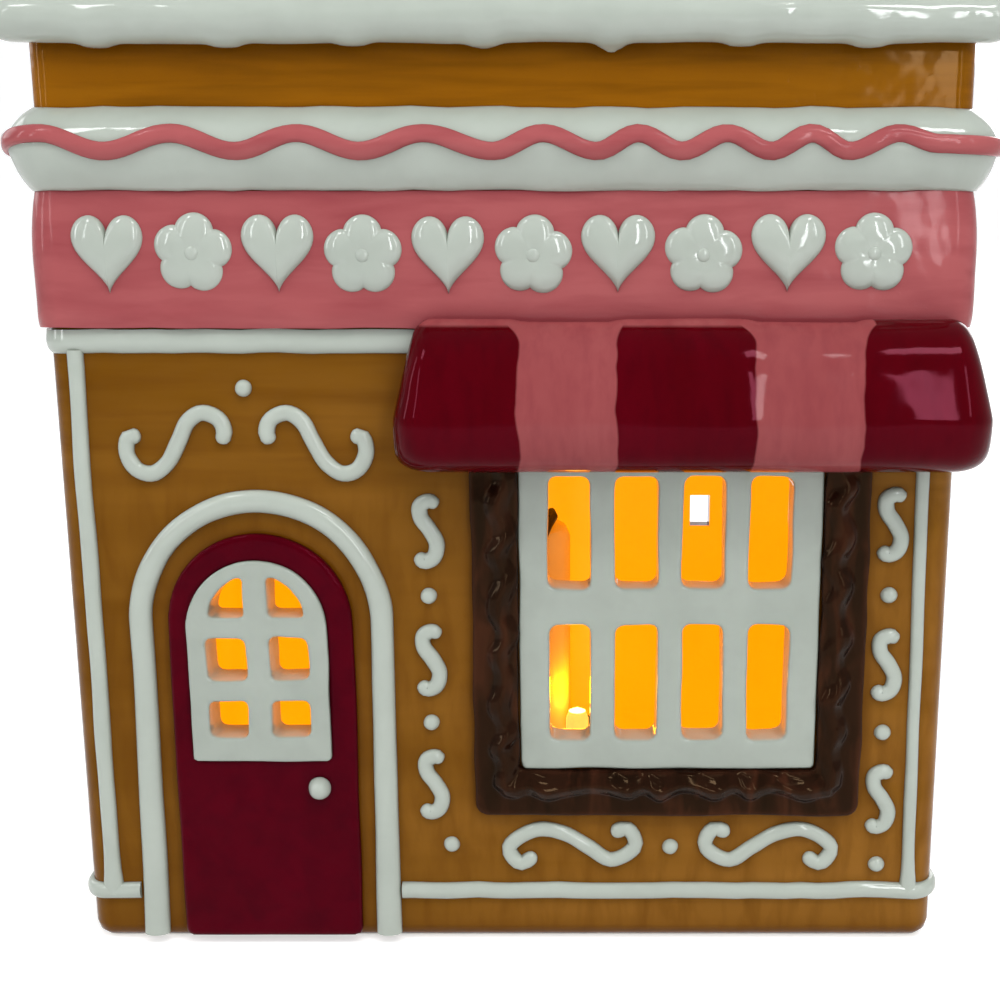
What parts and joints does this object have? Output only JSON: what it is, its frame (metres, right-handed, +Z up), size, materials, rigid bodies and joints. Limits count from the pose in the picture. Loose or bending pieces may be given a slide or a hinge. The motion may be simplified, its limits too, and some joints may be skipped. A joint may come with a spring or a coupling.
{
  "type": "light-up gingerbread shop",
  "caption": "Hollow glazed ceramic shop front with door, barred window, awning and piped icing, lit from inside by a battery light unit that stands in its base.",
  "frame": {"origin": "on the ground under the middle of the whole part", "axes": "+Z up, the shop front looks along -Y, +X to the right as seen from the front"},
  "size_m": [0.173, 0.126, 0.2152],
  "materials": {
    "gingerbread": "gloss glaze, streaky brown",
    "white_icing": "gloss glaze, white",
    "pink_icing": "gloss glaze, pink",
    "red_icing": "gloss glaze, dark red",
    "chocolate": "gloss glaze, chocolate",
    "white_plastic": "satin",
    "grey_plastic": "satin",
    "black_plastic": "matt",
    "silicone": "matt",
    "black_rubber": "matt",
    "circuit_board": "solder mask",
    "led_lens": "clear warm white",
    "cell_wrap": "printed sleeve",
    "steel": "nickel plated"
  },
  "bodies": {
    "shop": {"shop_shell": "gingerbread", "roof": "gingerbread", "roof_icing": "white_icing", "cornice_roll": "white_icing", "cornice_squiggle": "pink_icing", "sign_band": "pink_icing", "sill_bead": "white_icing", "icing_border": "white_icing", "awning": "red_icing", "window_lattice": "white_icing", "window_surround": "chocolate", "door_slab": "red_icing", "door_window_frame": "white_icing", "door_arch_icing": "white_icing", "door_knob": "white_icing", "door_scroll_left": "white_icing", "door_scroll_right": "white_icing", "sill_scroll_left": "white_icing", "sill_scroll_right": "white_icing", "s_scroll_left_1": "white_icing", "s_scroll_left_2": "white_icing", "s_scroll_left_3": "white_icing", "s_scroll_right_1": "white_icing", "s_scroll_right_2": "white_icing", "s_scroll_right_3": "white_icing", "icing_dot_left_1": "white_icing", "icing_dot_left_2": "white_icing", "icing_dot_left_3": "white_icing", "icing_dot_right_1": "white_icing", "icing_dot_right_2": "white_icing", "icing_dot_right_3": "white_icing", "icing_dot_door": "white_icing", "icing_dot_sill": "white_icing", "battery_housing": "white_plastic", "base_plate": "white_plastic", "housing_gasket": "silicone", "plate_screw_1": "steel", "plate_screw_2": "steel", "plate_screw_3": "steel", "led_board": "circuit_board", "led_1": "led_lens", "led_2": "led_lens", "led_3": "led_lens", "wire_grommet": "black_rubber", "led_lead": "black_rubber", "control_board": "circuit_board", "switch_body": "grey_plastic"},
    "battery_unit": {"battery_cap": "white_plastic", "cap_seal": "black_rubber", "battery_carrier": "grey_plastic", "battery_1": "cell_wrap", "battery_2": "cell_wrap", "battery_3": "cell_wrap", "lower_contact": "steel", "upper_contact": "steel"},
    "power_switch": {"switch_knob": "black_plastic"}
  },
  "joints": [
    {"name": "battery_unit_pull", "type": "slide", "parent": "shop", "child": "battery_unit", "axis": [0, 0, -1], "range_m": [0, 0.07]},
    {"name": "power_switch_slide", "type": "slide", "parent": "shop", "child": "power_switch", "axis": [-1, 0, 0], "range_m": [0, 0.003]}
  ]
}
